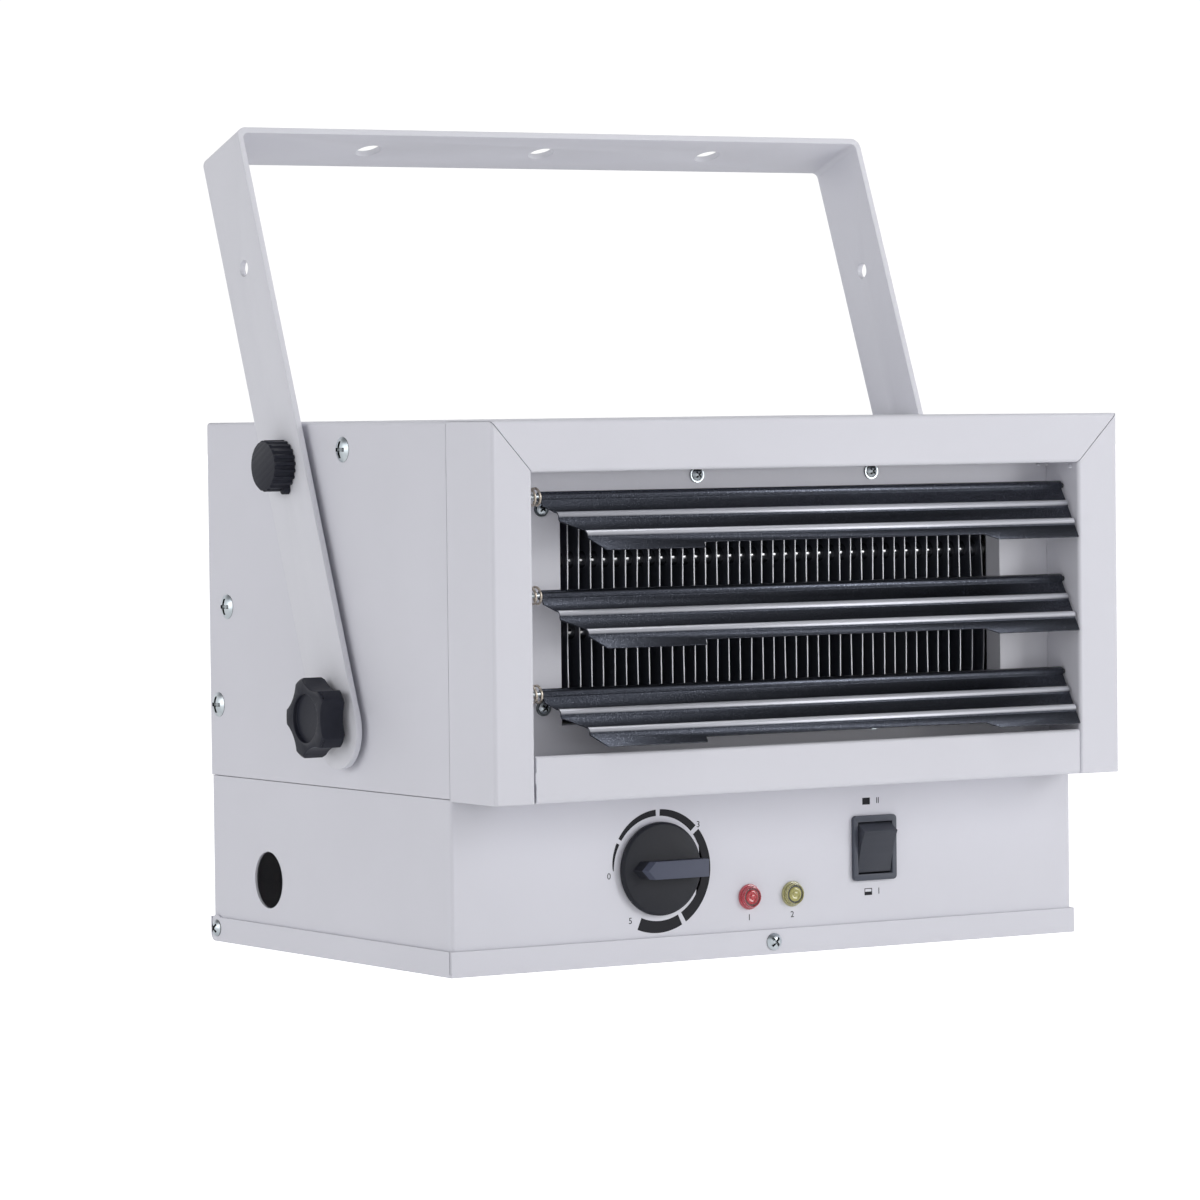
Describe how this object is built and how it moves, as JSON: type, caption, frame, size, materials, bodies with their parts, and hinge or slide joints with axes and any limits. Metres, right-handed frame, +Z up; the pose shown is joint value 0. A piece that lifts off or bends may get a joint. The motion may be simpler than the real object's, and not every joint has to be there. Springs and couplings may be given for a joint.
{
  "type": "ceiling fan heater",
  "caption": "Ceiling mounted fan heater: a sheet metal cabinet with louvred outlet and control box, hung in a tilting strap with star knobs.",
  "frame": {"origin": "centre of the middle ceiling hole, in the top face of the strap", "axes": "+X to the right of someone facing the louvres, +Y to the back, +Z up, with the cabinet level as pictured"},
  "size_m": [0.398, 0.2757, 0.3979],
  "materials": {
    "cabinet_paint": "light grey powder coat, fine orange peel, satin",
    "frame_paint": "light grey powder coat, satin",
    "baffle_paint": "smooth light grey coat on a pressed plate",
    "louvre_paint": "charcoal metallic paint with a soft sheen",
    "black_plastic": "moulded black plastic, fine grain",
    "switch_plastic": "moulded black plastic, smooth",
    "zinc": "bright zinc plate",
    "spring_wire": "drawn nickel plated wire",
    "galvanised": "galvanised sheet",
    "fin_metal": "blackened heat treated sheet with bare bright edges",
    "rod_metal": "heat tinted steel sheath",
    "ceramic": "ivory ceramic and moulding",
    "motor_paint": "black enamel",
    "fan_metal": "pressed sheet aluminium",
    "inner_plastic": "black phenolic moulding",
    "relay_plastic": "cream moulding",
    "spacer_rubber": "black rubber",
    "red_lens": "clear red moulded lens",
    "amber_lens": "clear amber moulded lens"
  },
  "bodies": {
    "bracket": {"bracket": "cabinet_paint"},
    "left_clamp_screw": {"left_thumb_screw": "black_plastic", "left_thumb_stud": "zinc"},
    "right_clamp_screw": {"right_thumb_screw": "black_plastic", "right_thumb_stud": "zinc"},
    "cabinet": {"cabinet_shell": "cabinet_paint", "back_panel": "cabinet_paint", "inlet_guard": "motor_paint", "guard_screws": "zinc", "frame_top_rail": "frame_paint", "frame_left_stile": "frame_paint", "frame_right_stile": "frame_paint", "frame_sill": "frame_paint", "baffle_plate": "baffle_paint", "baffle_screws": "zinc", "air_duct": "galvanised", "fin_pack": "fin_metal", "element_rods": "rod_metal", "element_end_plates": "galvanised", "element_terminals": "ceramic", "limit_thermostat": "inner_plastic", "fan_shroud": "galvanised", "motor_bracket": "galvanised", "motor_bracket_screws": "zinc", "motor_housing": "motor_paint", "divider_plate": "galvanised", "control_box": "cabinet_paint", "base_tray": "cabinet_paint", "thermostat_body": "inner_plastic", "switch_housing": "switch_plastic", "red_lamp": "red_lens", "amber_lamp": "amber_lens", "terminal_block": "ceramic", "power_relay": "relay_plastic", "cord_clamp": "inner_plastic", "pivot_nuts": "zinc", "pivot_spacers": "spacer_rubber", "side_screws": "zinc", "tray_screws": "zinc", "louvre_springs": "spring_wire"},
    "fan": {"fan_blade": "fan_metal", "fan_shaft": "zinc", "fan_nut": "zinc"},
    "dial": {"dial_knob": "black_plastic", "dial_spindle": "zinc"},
    "switch_rocker": {"rocker": "switch_plastic"},
    "left_knob": {"left_star_knob": "black_plastic", "left_knob_stud": "zinc"},
    "right_knob": {"right_star_knob": "black_plastic", "right_knob_stud": "zinc"},
    "upper_vane": {"upper_louvre": "louvre_paint", "upper_louvre_pins": "zinc"},
    "middle_vane": {"middle_louvre": "louvre_paint", "middle_louvre_pins": "zinc"},
    "lower_vane": {"lower_louvre": "louvre_paint", "lower_louvre_pins": "zinc"}
  },
  "joints": [
    {"name": "cabinet_tilt", "type": "hinge", "parent": "bracket", "child": "cabinet", "pos_m": [0, -0.10668, -0.27504], "axis": [1, 0, 0], "range_deg": [-17, 38]},
    {"name": "left_clamp_turn", "type": "hinge", "parent": "bracket", "child": "left_clamp_screw", "pos_m": [-0.1817, -0.06075, -0.15663], "axis": [-1, 0, 0], "range_deg": [0, 360]},
    {"name": "right_clamp_turn", "type": "hinge", "parent": "bracket", "child": "right_clamp_screw", "pos_m": [0.1817, -0.06075, -0.15663], "axis": [1, 0, 0], "range_deg": [0, 360]},
    {"name": "left_knob_turn", "type": "hinge", "parent": "cabinet", "child": "left_knob", "pos_m": [-0.1832, -0.10668, -0.27504], "axis": [-1, 0, 0], "range_deg": [0, 360]},
    {"name": "right_knob_turn", "type": "hinge", "parent": "cabinet", "child": "right_knob", "pos_m": [0.1832, -0.10668, -0.27504], "axis": [1, 0, 0], "range_deg": [0, 360]},
    {"name": "upper_louvre_tilt", "type": "hinge", "parent": "cabinet", "child": "upper_vane", "pos_m": [0, -0.22948, -0.17084], "axis": [1, 0, 0], "range_deg": [-55, 38]},
    {"name": "middle_louvre_tilt", "type": "hinge", "parent": "cabinet", "child": "middle_vane", "pos_m": [0, -0.22948, -0.21584], "axis": [1, 0, 0], "range_deg": [-55, 38]},
    {"name": "lower_louvre_tilt", "type": "hinge", "parent": "cabinet", "child": "lower_vane", "pos_m": [0, -0.22948, -0.26084], "axis": [1, 0, 0], "range_deg": [-55, 38]},
    {"name": "fan_spin", "type": "hinge", "parent": "cabinet", "child": "fan", "pos_m": [0, -0.09768, -0.22254], "axis": [0, 1, 0], "continuous": true},
    {"name": "dial_turn", "type": "hinge", "parent": "cabinet", "child": "dial", "pos_m": [-0.0642, -0.20268, -0.34674], "axis": [0, 1, 0], "range_deg": [0, 285]},
    {"name": "switch_rock", "type": "hinge", "parent": "cabinet", "child": "switch_rocker", "pos_m": [0.0586, -0.20118, -0.34324], "axis": [1, 0, 0], "range_deg": [-34, 0]}
  ]
}
